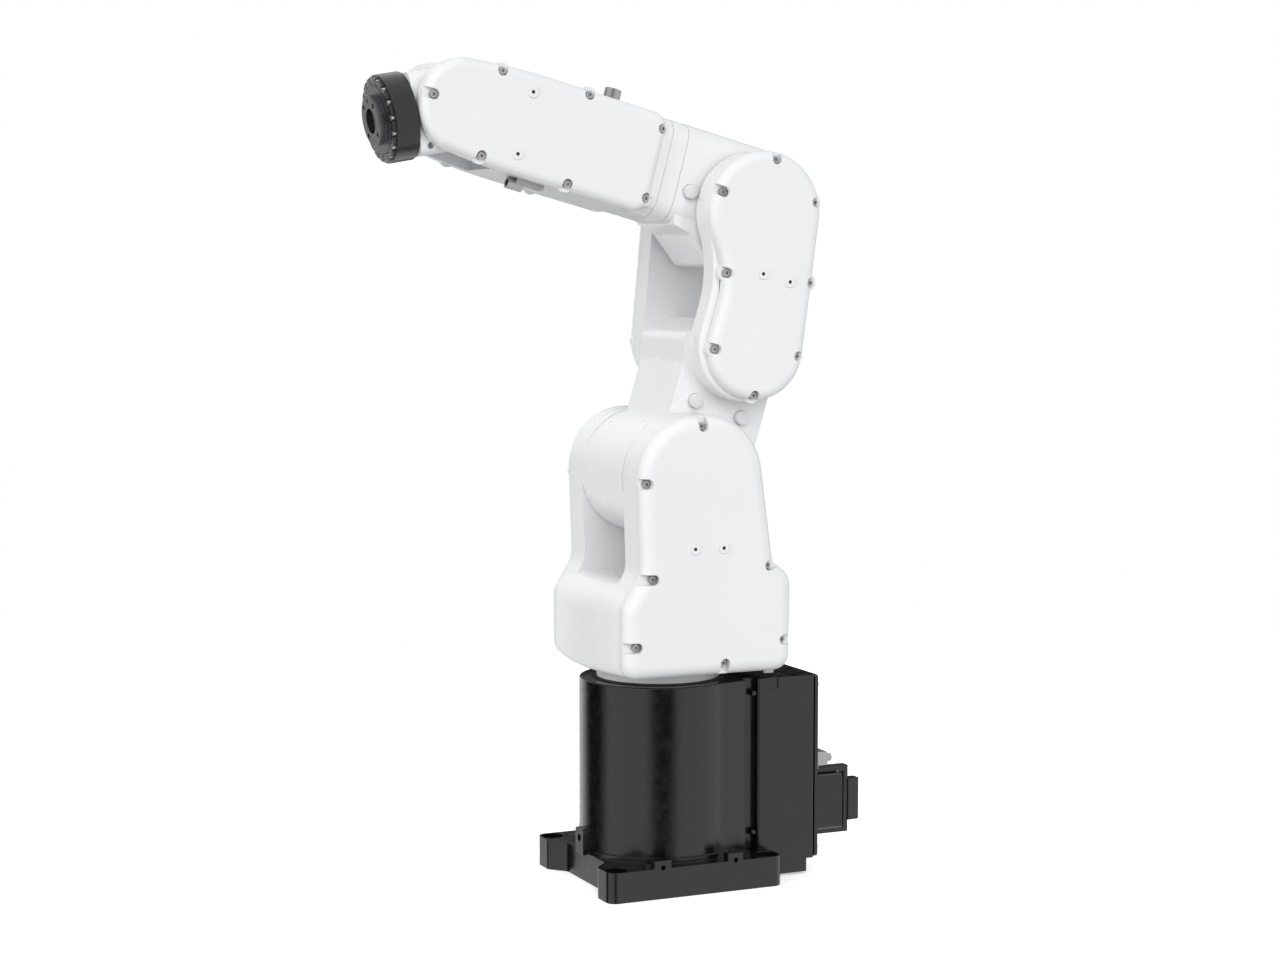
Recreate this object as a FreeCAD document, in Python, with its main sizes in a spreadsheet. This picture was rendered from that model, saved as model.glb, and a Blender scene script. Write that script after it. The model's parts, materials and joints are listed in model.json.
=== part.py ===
import FreeCAD, Part
import math
import os

import Sketcher
from FreeCAD import Placement, Rotation, Vector

# Six-axis desktop robot arm: a black foot with a drum and a rear connector box carries a white
# turret, lower arm, elbow, forearm and wrist.  Millimetres; the origin is the centre of the foot's
# underside on the first axis, +X points where the arm reaches, +Z is up and +Y is the side with the
# drive belts.  Every link is modelled in its own frame and placed at the rest pose at the end.

# ---------------------------------------------------------------- driving dimensions
SIZES = {
    # foot, drum and rear box
    "base_width": 157,
    "plate_height": 25,
    "base_height": 170,
    "drum_radius": 66,
    "drum_wall": 6,
    "foot_pitch": 136,
    "foot_hole_radius": 4.5,
    "foot_counterbore_radius": 9.5,
    "box_width": 107,
    "box_rear": 121,
    "panel_thickness": 3,
    # turret
    "shoulder_height": 340,
    "shoulder_radius": 52.5,
    "fork_gap": 84,
    "turret_width": 160,
    "turret_floor": 180,
    "turret_top_floor": 257,
    "turret_edge_round": 11,
    "ring_radius": 51.5,
    # lower arm
    "upper_arm_length": 225,
    "arm_width": 144,
    "arm_head_radius": 50,
    "barrel_radius": 51.5,
    "barrel_width": 82.8,
    "arm_edge_round": 8,
    # elbow and forearm
    "elbow_offset": 15,
    "elbow_barrel_radius": 46,
    "elbow_width": 78,
    "elbow_barrel_width": 81.6,
    "seam_distance": 69,
    "collar_length": 14,
    "forearm_length": 260,
    "forearm_width": 87,
    "forearm_height": 82,
    "nose_radius": 38,
    "nose_gap": 54,
    "forearm_edge_round": 7,
    # wrist and tool flange
    "wrist_width": 53,
    "wrist_radius": 33,
    "wrist_ring_radius": 35,
    "wrist_ring_start": 38.8,
    "wrist_ring_end": 58,
    "flange_reach": 67,
    "flange_hub_radius": 20,
    "flange_bore_radius": 10,
    "flange_bolt_circle": 31.5,
    "flange_hole_radius": 2.1,
    # covers and their screws
    "turret_cover_depth": 12,
    "arm_cover_depth": 11,
    "forearm_cover_depth": 9,
    "cover_wall": 3,
    "seam_gap": 0.25,
    "screw_head_radius": 3.1,
    "screw_pocket_radius": 4.2,
    "boss_radius": 4.6,
    # rest pose, in degrees
    "lean_back": 16.8,
    "forearm_pitch": 15,
    "wrist_bend": 25,
}

doc = FreeCAD.newDocument("desktop_robot_arm")
sheet = doc.addObject("Spreadsheet::Sheet", "sizes")
for row, (alias, number) in enumerate(SIZES.items(), start=1):
    sheet.set(f"A{row}", alias)
    sheet.set(f"B{row}", str(number))
    sheet.setAlias(f"B{row}", alias)
doc.recompute()


def size(alias):
    """A driving dimension as a number, read back from the sheet."""
    return float(getattr(sheet, alias))


def bound(feature, name, rule):
    """Set a property from a number, or bind it to the sheet when the rule is an expression."""
    if isinstance(rule, str):
        feature.setExpression(name, rule)
    else:
        setattr(feature, name, rule)


def cell(text):
    """Write the sheet's name in front of every alias of an expression."""
    words = text.replace("(", " ( ").replace(")", " ) ").split()
    return " ".join(f"sizes.{word}" if word in SIZES else word for word in words)


# ---------------------------------------------------------------- outlines for sketches
def rounded(corners):
    """A closed outline from (x, y, radius) corners: straight runs joined by tangent arcs."""
    count = len(corners)
    joints = []
    for index, (x, y, radius) in enumerate(corners):
        here = Vector(x, y, 0)
        before = Vector(*corners[index - 1][:2], 0) - here
        after = Vector(*corners[(index + 1) % count][:2], 0) - here
        before.normalize()
        after.normalize()
        if radius == 0:
            joints.append((here, None, here))
            continue
        half = before.getAngle(after) / 2
        reach = radius / math.tan(half)
        middle = (before + after).normalize()
        centre = here + middle * (radius / math.sin(half))
        joints.append((here + before * reach, centre - middle * radius, here + after * reach))
    edges = []
    for index, (start, middle, end) in enumerate(joints):
        if middle is not None:
            edges.append(Part.Arc(start, middle, end))
        following = joints[(index + 1) % count][0]
        if (following - end).Length > 1e-6:
            edges.append(Part.LineSegment(end, following))
    return edges


def circle(x, y, radius):
    return [Part.Circle(Vector(x, y, 0), Vector(0, 0, 1), radius)]


def rectangle(x0, y0, x1, y1, radius=0.0):
    return rounded([(x0, y0, radius), (x1, y0, radius), (x1, y1, radius), (x0, y1, radius)])


def slot(first, first_radius, second, second_radius):
    """Two circles and the outer tangents that join them, as on a belt or an arm."""
    a = Vector(*first, 0)
    b = Vector(*second, 0)
    along = b - a
    distance = along.Length
    angle = math.atan2(along.y, along.x)
    spread = math.acos((first_radius - second_radius) / distance)

    def point(centre, radius, turn):
        return centre + Vector(math.cos(turn), math.sin(turn), 0) * radius

    left = angle + spread
    right = angle - spread
    return [
        Part.Arc(point(a, first_radius, left), point(a, first_radius, angle + math.pi),
                 point(a, first_radius, right)),
        Part.LineSegment(point(a, first_radius, right), point(b, second_radius, right)),
        Part.Arc(point(b, second_radius, right), point(b, second_radius, angle),
                 point(b, second_radius, left)),
        Part.LineSegment(point(b, second_radius, left), point(a, first_radius, left)),
    ]


def u_pocket(x, y, radius, heading, reach):
    """A U round a screw head at (x, y), open towards the heading in degrees."""
    turn = math.radians(heading)
    out = Vector(math.cos(turn), math.sin(turn), 0)
    side = Vector(-out.y, out.x, 0) * radius
    centre = Vector(x, y, 0)
    return [
        Part.Arc(centre + side, centre - out * radius, centre - side),
        Part.LineSegment(centre - side, centre - side + out * reach),
        Part.LineSegment(centre - side + out * reach, centre + side + out * reach),
        Part.LineSegment(centre + side + out * reach, centre + side),
    ]


# ---------------------------------------------------------------- PartDesign helpers
PLANES = {"top": "XY_Plane", "side": "XZ_Plane", "front": "YZ_Plane"}


def new_body(name, base=None):
    body = doc.addObject("PartDesign::Body", name)
    body.Label = name
    if base is not None:
        body.BaseFeature = base
        doc.recompute()
    return body


def join_ends(sketch, first, count):
    """Tie each edge of a loop to the next one, whichever of their ends meet."""
    for step in range(count):
        one = first + step
        two = first + (step + 1) % count
        pairs = [(a, b) for a in (1, 2) for b in (1, 2)]
        gap = {pair: (sketch.getPoint(one, pair[0]) - sketch.getPoint(two, pair[1])).Length
               for pair in pairs}
        a, b = min(pairs, key=gap.get)
        sketch.addConstraint(Sketcher.Constraint("Coincident", one, a, two, b))


def new_sketch(body, plane, at, loops):
    """A sketch on one of the body's origin planes, moved along the plane's axis to `at`."""
    sketch = body.newObject("Sketcher::SketchObject", f"{body.Name}_outline")
    role = PLANES[plane]
    support = next(face for face in body.Origin.OriginFeatures if face.Role == role)
    sketch.AttachmentSupport = [(support, "")]
    sketch.MapMode = "FlatFace"
    # The side plane's own axis points to -Y, so its offset changes sign.
    sign = "-" if plane == "side" else ""
    if isinstance(at, str):
        sketch.setExpression(".AttachmentOffset.Base.z", f"{sign}({cell(at)})")
    else:
        offset = -at if plane == "side" else at
        sketch.AttachmentOffset = Placement(Vector(0, 0, offset), Rotation())
    for loop in loops:
        first = len(sketch.Geometry)
        sketch.addGeometry(loop, False)
        if len(loop) > 1:
            join_ends(sketch, first, len(loop))
    return sketch


def pad(body, plane, at, depth, loops, positive=True, both=False):
    """A pad that starts at `at` and grows towards the plane's positive axis, or both ways."""
    sketch = new_sketch(body, plane, at, loops)
    feature = body.newObject("PartDesign::Pad", f"{body.Name}_pad")
    feature.Profile = sketch
    bound(feature, "Length", cell(depth) if isinstance(depth, str) else depth)
    feature.SideType = "Symmetric" if both else "One side"
    feature.Reversed = positive if plane == "side" else not positive
    doc.recompute()
    return feature


def pocket(body, plane, at, depth, loops, positive=True, both=False):
    """A pocket from `at` towards the plane's positive axis; depth None goes through everything."""
    sketch = new_sketch(body, plane, at, loops)
    feature = body.newObject("PartDesign::Pocket", f"{body.Name}_pocket")
    feature.Profile = sketch
    if depth is None:
        feature.Type = "ThroughAll"
    else:
        bound(feature, "Length", cell(depth) if isinstance(depth, str) else depth)
    feature.SideType = "Symmetric" if both else "One side"
    feature.Reversed = not positive if plane == "side" else positive
    doc.recompute()
    return feature


def edge_names(shape, test):
    """The names of the edges whose start, middle and end all pass the test."""
    names = []
    for index, edge in enumerate(shape.Edges, start=1):
        low, high = edge.ParameterRange
        points = [edge.valueAt(low + (high - low) * share) for share in (0.0, 0.5, 1.0)]
        if all(test(point) for point in points):
            names.append(f"Edge{index}")
    return names


def round_edges(body, radius, test):
    """Round the edges of the body's last feature that pass the test."""
    base = body.Tip
    feature = body.newObject("PartDesign::Fillet", f"{body.Name}_round")
    feature.Base = (base, edge_names(base.Shape, test))
    bound(feature, "Radius", cell(radius) if isinstance(radius, str) else radius)
    doc.recompute()
    return feature


def near(value, target, slack=0.05):
    return abs(value - target) < slack


# ---------------------------------------------------------------- Part helpers
AXES = {
    "X": Rotation(Vector(0, 0, 1), Vector(1, 0, 0)),
    "Y": Rotation(Vector(0, 0, 1), Vector(0, 1, 0)),
    "Z": Rotation(),
}


def cylinder(name, radius, height, start, axis="Z"):
    """A cylinder from its start point along a positive axis."""
    shape = doc.addObject("Part::Cylinder", name)
    bound(shape, "Radius", cell(radius) if isinstance(radius, str) else radius)
    bound(shape, "Height", cell(height) if isinstance(height, str) else height)
    shape.Placement = Placement(Vector(*start), AXES[axis])
    return shape


def block(name, low, high):
    shape = doc.addObject("Part::Box", name)
    shape.Length = high[0] - low[0]
    shape.Width = high[1] - low[1]
    shape.Height = high[2] - low[2]
    shape.Placement = Placement(Vector(*low), Rotation())
    return shape


def fuse(name, shapes):
    feature = doc.addObject("Part::MultiFuse", name)
    feature.Shapes = shapes
    feature.Refine = True
    return feature


def group(name, shapes):
    feature = doc.addObject("Part::Compound", name)
    feature.Links = shapes
    return feature


def cut(name, base, tool):
    feature = doc.addObject("Part::Cut", name)
    feature.Base = base
    feature.Tool = tool
    return feature


def common(name, base, tool):
    feature = doc.addObject("Part::Common", name)
    feature.Base = base
    feature.Tool = tool
    doc.recompute()
    return feature


LINKS = {
    name: [] for name in
    ("base", "lever", "turret", "lower_arm", "elbow", "forearm", "wrist", "flange")
}


def node(link, thing):
    """Name a finished sub-part and give it to its link."""
    thing.Label = thing.Name
    LINKS[link].append(thing)
    return thing


# ---------------------------------------------------------------- pieces used on several links
def motor(link, name, radius, length, start, axis, flange, shaft_radius, shaft_length):
    """A servo motor: body, square flange at its front end and shaft, along a positive axis."""
    origin = Vector(*start)
    direction = AXES[axis].multVec(Vector(0, 0, 1))
    flange_depth = 6.0
    case = cylinder(f"{name}_case", radius, length - flange_depth, origin, axis)
    front = origin + direction * (length - flange_depth)
    half = flange / 2
    plate = doc.addObject("Part::Box", f"{name}_plate")
    plate.Length = flange
    plate.Width = flange
    plate.Height = flange_depth
    plate.Placement = Placement(front, AXES[axis]) * Placement(Vector(-half, -half, 0), Rotation())
    shaft = cylinder(f"{name}_shaft", shaft_radius, shaft_length + 1.0,
                     front + direction * (flange_depth - 1.0), axis)
    return node(link, fuse(name, [case, plate, shaft]))


def pulley(name, radius, width, centre, bore):
    """A flanged belt pulley on the Y axis: its belt track starts at the centre's y."""
    rim = 1.0
    x, y, z = centre
    track = cylinder(f"{name}_track", radius, width, (x, y, z), "Y")
    low = cylinder(f"{name}_low_rim", radius + 1.6, rim, (x, y - rim, z), "Y")
    high = cylinder(f"{name}_high_rim", radius + 1.6, rim, (x, y + width, z), "Y")
    hole = cylinder(f"{name}_bore", bore, width + 4 * rim, (x, y - 2 * rim, z), "Y")
    return cut(name, fuse(f"{name}_wheel", [track, low, high]), hole)


def belt(link, name, first, first_radius, second, second_radius, at, width):
    thickness = 1.8
    gap = 0.05
    body = new_body(name)
    outer = slot(first, first_radius + gap + thickness, second, second_radius + gap + thickness)
    inner = slot(first, first_radius + gap, second, second_radius + gap)
    pad(body, "side", at, width, [outer, inner])
    return node(link, body)


def cap_screws(link, name, places, head_radius, head_height, shank_radius, shank_length):
    """Cap screws as separate solids: each place is (x, y, z, sign), the head facing sign * Y."""
    screws = []
    for index, (x, y, z, sign) in enumerate(places, start=1):
        tag = f"{name}_{index}"
        head_start = y if sign > 0 else y - head_height
        shank_start = y - shank_length if sign > 0 else y - 0.5
        head = cylinder(f"{tag}_head", head_radius, head_height, (x, head_start, z), "Y")
        shank = cylinder(f"{tag}_shank", shank_radius, shank_length + 0.5, (x, shank_start, z), "Y")
        screws.append(fuse(tag, [head, shank]))
    return node(link, group(name, screws))


# ---------------------------------------------------------------- base
def build_base():
    half = size("base_width") / 2
    top = size("base_height")
    drum = size("drum_radius")
    plate = size("plate_height")
    wall = size("drum_wall")
    box_half = size("box_width") / 2
    box_front = -67.0
    box_rear = -size("box_rear")
    pitch = size("foot_pitch") / 2

    # Foot, drum and neck are one casting; the foot's front and rear edges are drawn in between its feet.
    casting = new_body("base_casting")
    foot_end = 53.0
    notch_front = 66.0
    notch_rear = -63.0
    foot = [
        (half, -half, 8), (half, -foot_end, 5), (notch_front, -foot_end + 14, 9),
        (notch_front, foot_end - 14, 9), (half, foot_end, 5), (half, half, 8),
        (-half, half, 8), (-half, box_half + 1, 5), (notch_rear, box_half + 1, 3),
        (notch_rear, -box_half - 1, 3), (-half, -box_half - 1, 5), (-half, -half, 8),
    ]
    pad(casting, "top", 0.0, "plate_height", [rounded(foot)])
    pad(casting, "top", "plate_height", 4.0, [circle(0, 0, drum + 2.5)])
    pad(casting, "top", plate - 1.0, "base_height - plate_height + 1", [circle(0, 0, drum)])
    neck = [(-20, -62, 0), (-20, 62, 0), (-32, 58.5, 4), (-56, box_half, 1.5), (-56, -box_half, 1.5),
            (-32, -58.5, 4)]
    pad(casting, "top", plate - 1.0, "base_height - plate_height + 1", [rounded(neck)])
    # The neck's rear face is flat, and the drum's wall behind it is cut back to it.
    pocket(casting, "front", -56.0, 30.0, [rectangle(-72, plate, 72, top + 1)], positive=False)
    # Raised tabs along both long sides, two bosses beside the drum and a low tab at the drum's front.
    tabs = []
    for side in (-1, 1):
        for x0, x1 in ((23.5, 39.0), (-41.5, -27.5)):
            tabs.append(rectangle(x0, min(side * half, side * (half - 9)), x1,
                                  max(side * half, side * (half - 9)), 1.0))
    pad(casting, "top", plate - 1.0, 7.5, tabs)
    pad(casting, "top", plate - 1.0, 3.5, [circle(37, 66, 6.5), circle(37, -66, 6.5)])
    pad(casting, "front", 62.0, 10.0, [rectangle(-8, plate - 1, 8, plate + 21, 2)])
    # Cavity for the first motor, open below, with a stepped seat for the reducer above.
    pocket(casting, "top", 0.0, top - 42.0, [circle(0, 0, drum - wall)], positive=True)
    pocket(casting, "top", 0.0, None, [circle(0, 0, 46.3)], positive=True)
    pocket(casting, "top", top - 8.0, 9.0, [circle(0, 0, 55.3)], positive=True)
    neck_room = [(-57, -44, 0), (-57, 44, 0), (-40, 44, 0), (-40, -44, 0)]
    pocket(casting, "top", 40.0, 80.0, [rounded(neck_room)], positive=True)
    # Mounting holes with counterbores, then the tapped holes of the tabs and bosses.
    feet = [(x * pitch, y * pitch) for x in (-1, 1) for y in (-1, 1)]
    hole_radius = size("foot_hole_radius")
    bore_radius = size("foot_counterbore_radius")
    pocket(casting, "top", 0.0, None, [circle(x, y, hole_radius) for x, y in feet])
    pocket(casting, "top", plate - 7.0, 20.0, [circle(x, y, bore_radius) for x, y in feet])
    pocket(casting, "top", plate - 9.0, 15.0, [circle(37, 66, 3.3), circle(37, -66, 3.3)])
    pocket(casting, "front", 67.0, 10.0, [circle(0, plate + 13, 3.2)], positive=True)
    tab_holes = [circle(31.3, 25.6, 2.1), circle(-34.6, 25.6, 2.1)]
    pocket(casting, "side", half - 12.0, 20.0, tab_holes, positive=True)
    pocket(casting, "side", -half + 12.0, 20.0, tab_holes, positive=False)
    round_edges(casting, 1.2, lambda p: near(p.z, top) and p.x > -55.5 and
                math.hypot(p.x, p.y) > drum - 8)
    node("base", casting)

    bottom = new_body("base_bottom_plate")
    pad(bottom, "top", 0.5, 2.5, [circle(0, 0, drum - wall - 0.3)])
    node("base", bottom)

    # Rear connector box: a shell closed by the rear panel; its foot steps in behind the plate.
    box = new_body("rear_box")
    shell = [(box_front, -box_half, 2), (box_front, box_half, 2), (box_rear, box_half, 3),
             (box_rear, -box_half, 3)]
    pad(box, "top", 14.0, top - 14.0, [rounded(shell)])
    step = [(notch_rear - 0.3, -box_half + 3.3, 0), (notch_rear - 0.3, box_half - 3.3, 0),
            (box_rear + 5, box_half - 3.3, 2), (box_rear + 5, -box_half + 3.3, 2)]
    pad(box, "top", 2.0, 13.0, [rounded(step)])
    spine = [(-56.2, -46, 0), (-56.2, 46, 0), (box_front - 1, 46, 0), (box_front - 1, -46, 0)]
    pad(box, "top", plate + 0.3, top - plate - 0.3, [rounded(spine)])
    hollow = [(box_front - 5, -box_half + 5, 4), (box_front - 5, box_half - 5, 4),
              (box_rear - 1, box_half - 5, 0), (box_rear - 1, -box_half + 5, 0)]
    pocket(box, "top", 24.0, top - 30.0, [rounded(hollow)], positive=True)
    pocket(box, "front", -73.0, 20.0, [rectangle(-36, 44, 36, 118, 4)], positive=True)
    # Notches along the top edges, where the cover plate is hooked in.
    notches = [rectangle(-86, top - 9, -77.5, top + 1)]
    pocket(box, "side", box_half - 1.2, 5.0, notches, positive=True)
    pocket(box, "side", -box_half + 1.2, 5.0, notches, positive=False)
    node("base", box)

    panel = new_body("rear_panel")
    pad(panel, "front", box_rear - 0.1, "panel_thickness",
        [rectangle(-box_half + 0.4, 14.4, box_half - 0.4, top - 0.4, 3)], positive=False)
    cut_outs = [rectangle(-8, 30, 24, 74, 3), circle(-28, 60, 8.0), circle(-28, 95, 8.0)]
    pocket(panel, "front", box_rear + 1, None, cut_outs, positive=False)
    node("base", panel)
    panel_back = box_rear - 0.1 - size("panel_thickness")

    screws = []
    for index, (y, z) in enumerate([(y, z) for y in (-48, 48) for z in (22, 90, 161)], start=1):
        head = cylinder(f"panel_screw_{index}", 3.0, 1.8, (panel_back - 1.8, y, z), "X")
        screws.append(head)
    node("base", group("panel_screws", screws))

    screws = []
    for index, (side, z) in enumerate([(s, z) for s in (-1, 1) for z in (40, 158)], start=1):
        start = (box_front + 0.05, side * 49.8, z)
        screws.append(cylinder(f"box_screw_{index}", 2.9, 4.5, start, "X"))
    node("base", group("box_screws", screws))

    # Heavy-duty connector: a hooded housing round a contact block, upright on the panel.
    housing = new_body("connector_housing")
    centre = 8.0
    pivot = panel_back - 20.0
    pad(housing, "front", panel_back - 0.05, 6.0, [rectangle(centre - 19, 25, centre + 19, 79, 4)],
        positive=False)
    pad(housing, "front", panel_back - 5.0, 36.5, [rectangle(centre - 13, 28, centre + 13, 76, 4)],
        positive=False)
    pocket(housing, "front", panel_back - 4.0, 50.0,
           [rectangle(centre - 10, 31, centre + 10, 73, 2.5)], positive=False)
    for side in (-1, 1):
        pin = circle(pivot, centre, 3.0)
        at = 76.0 if side > 0 else 28.0
        pad(housing, "top", at - side * 1.0, 5.4, [pin], positive=side > 0)
    node("base", housing)

    insert = new_body("connector_insert")
    pad(insert, "front", panel_back - 4.1, 14.0,
        [rectangle(centre - 8, 33.5, centre + 8, 70.5, 2)], positive=False)
    pins = [circle(centre + y, 38.0 + 5.6 * step_up, 1.2) for y in (-4, 4) for step_up in range(6)]
    pad(insert, "front", panel_back - 18.0, 6.5, pins, positive=False)
    node("base", insert)

    # Small circular service connectors with caps, and the air fitting block above the housing.
    services = []
    for index, z in enumerate((60, 95), start=1):
        barrel = cylinder(f"service_{index}_barrel", 7.4, 12.0, (panel_back - 8.0, -28, z), "X")
        cap = cylinder(f"service_{index}_cap", 9.2, 6.0, (panel_back - 10.0, -28, z), "X")
        collar = cylinder(f"service_{index}_collar", 10.5, 2.0, (panel_back - 2.05, -28, z), "X")
        services.append(fuse(f"service_{index}", [barrel, cap, collar]))
    node("base", group("service_connectors", services))

    fitting = new_body("air_fitting_block")
    pad(fitting, "front", panel_back - 0.05, 22.0, [rectangle(4, 86, 30, 98, 2)], positive=False)
    pad(fitting, "front", panel_back - 21.0, 7.0, [circle(11, 92, 3.4), circle(23, 92, 3.4)],
        positive=False)
    pocket(fitting, "front", panel_back - 20.0, 12.0, [circle(11, 92, 2.1), circle(23, 92, 2.1)],
           positive=False)
    node("base", fitting)

    # First axis: motor, reducer and seal, all on the vertical axis.
    motor("base", "j1_motor", 29.0, 88.0, (0, 0, 34.0), "Z", 60.0, 7.0, 11.0)
    reducer = fuse("j1_reducer_body", [
        cylinder("j1_reducer_case", 46.0, 30.0, (0, 0, top - 37.0), "Z"),
        cylinder("j1_reducer_rim", 55.0, 6.0, (0, 0, top - 7.9), "Z"),
    ])
    node("base", cut("j1_reducer", reducer,
                     cylinder("j1_reducer_bore", 7.3, 60.0, (0, 0, top - 45.0), "Z")))

    seal = new_body("j1_seal_ring")
    pad(seal, "top", top - 1.85, 3.0, [circle(0, 0, 55.0), circle(0, 0, 52.1)])
    node("base", seal)

    # Locking lever of the connector: a U of two arms and a grip bar, swinging on upright pins.
    lever = new_body("connector_lever")
    bar = pivot - 31.5
    arm = [(pivot + 5.0, centre - 5.0, 3), (pivot + 5.0, centre + 5.0, 3),
           (bar, centre + 5.0, 2), (bar, centre - 5.0, 2)]
    pad(lever, "top", 76.5, 4.5, [rounded(arm)])
    pad(lever, "top", 23.0, 4.5, [rounded(arm)])
    grip = [(bar + 5.0, centre - 5.0, 1), (bar + 5.0, centre + 5.0, 1),
            (bar, centre + 5.0, 1), (bar, centre - 5.0, 1)]
    pad(lever, "top", 23.0, 58.0, [rounded(grip)])
    thumb = [(bar + 1.0, centre - 6.5, 1), (bar + 1.0, centre + 6.5, 1),
             (bar - 11.0, centre + 5.0, 2), (bar - 11.0, centre - 5.0, 2)]
    pad(lever, "top", 33.0, 36.0, [rounded(thumb)])
    pocket(lever, "top", 20.0, None, [circle(pivot, centre, 3.05)])
    node("lever", lever)


# ---------------------------------------------------------------- turret
def turret_side(grow=0.0):
    """The turret seen from the side: shoulder arc, waist and flared body; grow moves it outwards."""
    shoulder = size("shoulder_height")
    floor = size("turret_floor") - grow
    radius = size("shoulder_radius") + grow
    front = 65.0 + grow
    rear = -86.0 - grow
    top = shoulder + radius
    return rounded([
        (-radius - 1.0, top, radius - 1.5), (radius, top, radius - 1.5),
        (48.3 + grow, 266.0, 24), (front, 238.0, 16), (front, floor, 14), (rear, floor, 14),
        (rear, 258.0, 16), (-70.0 - grow, 271.0, 12),
    ])


def build_turret():
    width = size("turret_width")
    half = width / 2
    floor = size("turret_floor")
    shoulder = size("shoulder_height")
    gap = size("fork_gap") / 2
    depth = size("turret_cover_depth")
    split = half - depth
    edge = size("turret_edge_round")
    seam = size("seam_gap")

    # Outer form: the side outline with rounded edges, plus a bulged body between the two arms.
    form = new_body("turret_form")
    pad(form, "side", 0.0, "turret_width", [turret_side()], both=True)
    round_edges(form, edge, lambda p: near(abs(p.y), half))
    gap_room = [(-100, 200, 0), (90, 200, 0), (90, 420, 0), (-100, 420, 0)]
    pocket(form, "side", 0.0, "fork_gap", [rounded(gap_room)], both=True)

    body = new_body("turret_middle")
    middle = 66.0
    sag = 9.0
    front = Part.Arc(Vector(65, -middle, 0), Vector(65 + sag, 0, 0), Vector(65, middle, 0))
    rear = Part.Arc(Vector(-86, middle, 0), Vector(-86 - sag / 2, 0, 0), Vector(-86, -middle, 0))
    plan = [front, Part.LineSegment(Vector(65, middle, 0), Vector(-86, middle, 0)), rear,
            Part.LineSegment(Vector(-86, -middle, 0), Vector(65, -middle, 0))]
    pad(body, "top", floor, "turret_top_floor - turret_floor", [plan])
    top_floor = size("turret_top_floor")
    round_edges(body, 26.0, lambda p: near(p.z, top_floor) and abs(p.x) > 60 and
                (abs(p.y) < 1 or near(abs(p.y), middle)))
    round_edges(body, 13.0, lambda p: near(p.z, floor) and abs(p.x) > 60 and
                (abs(p.y) < 1 or near(abs(p.y), middle)))
    form_all = fuse("turret_outside", [form, body])
    doc.recompute()

    middle_part = common("turret_blank", form_all,
                         block("turret_blank_box", (-120, -split, 100), (120, split, 420)))
    casting = new_body("turret_casting", middle_part)
    gear_room = slot((-14, 224), 33.0, (0, shoulder), 36.0)
    pocket(casting, "side", gap + 8.0, 40.0, [gear_room], positive=True)
    pocket(casting, "side", -gap - 8.0, 40.0, [slot((-14, 224), 33.0, (0, shoulder), 30.0)],
           positive=False)
    pocket(casting, "side", 0.0, 110.0, [circle(-14, 224, 31.5)], both=True)
    pocket(casting, "side", 43.9, 10.0, [rectangle(-43.3, 194.7, 15.3, 253.3, 1)], positive=True)
    pocket(casting, "side", gap - 1.0, 20.0, [circle(0, shoulder, 36.3)], positive=True)
    pocket(casting, "side", -gap + 1.0, 20.0, [circle(0, shoulder, 29.05)], positive=False)
    pocket(casting, "top", floor - 1.0, 8.0, [circle(0, 0, 40.0)], positive=True)
    node("turret", casting)

    ring = new_body("turret_ring")
    pad(ring, "top", floor - 11.4, 11.3, [circle(0, 0, size("ring_radius"))])
    pocket(ring, "top", floor - 12.0, None, [circle(0, 0, 12.0)], positive=True)
    node("turret", ring)

    screws = [(44.8, 338.4, 0), (39.5, 261.2, 0), (54.0, 206.8, 0), (-3.7, 383.6, 90),
              (-23.9, 189.5, -90), (-77.5, 206.0, 180), (-64.0, 268.0, 160)]
    bosses = [(3.7, 284.6), (-21.9, 284.5)]
    for name, sign in (("near", 1), ("far", -1)):
        low = split + seam if sign > 0 else -half - 1
        high = half + 1 if sign > 0 else -split - seam
        blank = common(f"turret_{name}_blank", form_all,
                       block(f"turret_{name}_box", (-120, low, 100), (120, high, 420)))
        cover = new_body(f"turret_cover_{name}", blank)
        finish_cover(cover, sign, split, half, screws, bosses, inset=turret_side(-13.0))
        node("turret", cover)
    places = []
    for sign in (1, -1):
        places += [(x, sign * (split + 4.0), z, sign) for x, z, heading in screws]
    cap_screws("turret", "turret_cover_screws", places, size("screw_head_radius"), 3.2, 1.5, 3.5)

    # Second axis: motor low in the body, belt up the near arm, reducer on the shoulder axis.
    motor("turret", "j2_motor", 29.0, 95.0, (-14, -45.0, 224), "Y", 58.0, 6.0, 16.0)
    wheels = [pulley("j2_motor_pulley", 14.0, 9.0, (-14, gap + 14.0, 224), 6.0),
              pulley("j2_input_pulley", 22.0, 9.0, (0, gap + 14.0, shoulder), 6.0)]
    node("turret", group("j2_pulleys", wheels))
    belt("turret", "j2_belt", (-14, 224), 14.0, (0, shoulder), 22.0, gap + 14.5, 8.0)
    reducer = fuse("j2_reducer", [
        cylinder("j2_reducer_case", 36.0, 38.0, (0, 9.0, shoulder), "Y"),
        cylinder("j2_reducer_input", 6.0, 26.0, (0, 45.0, shoulder), "Y"),
    ])
    node("turret", reducer)
    bearing = cut("j2_support_bearing", cylinder("j2_bearing_outer", 29.0, 12.0,
                                                 (0, -gap - 12.0, shoulder), "Y"),
                  cylinder("j2_bearing_bore", 20.05, 40.0, (0, -gap - 30.0, shoulder), "Y"))
    node("turret", bearing)
    stop = new_body("j1_stop_block")
    pad(stop, "top", floor - 5.1, 5.0, [rectangle(-81, 46, -71, 56, 2)])
    node("turret", stop)


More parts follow.
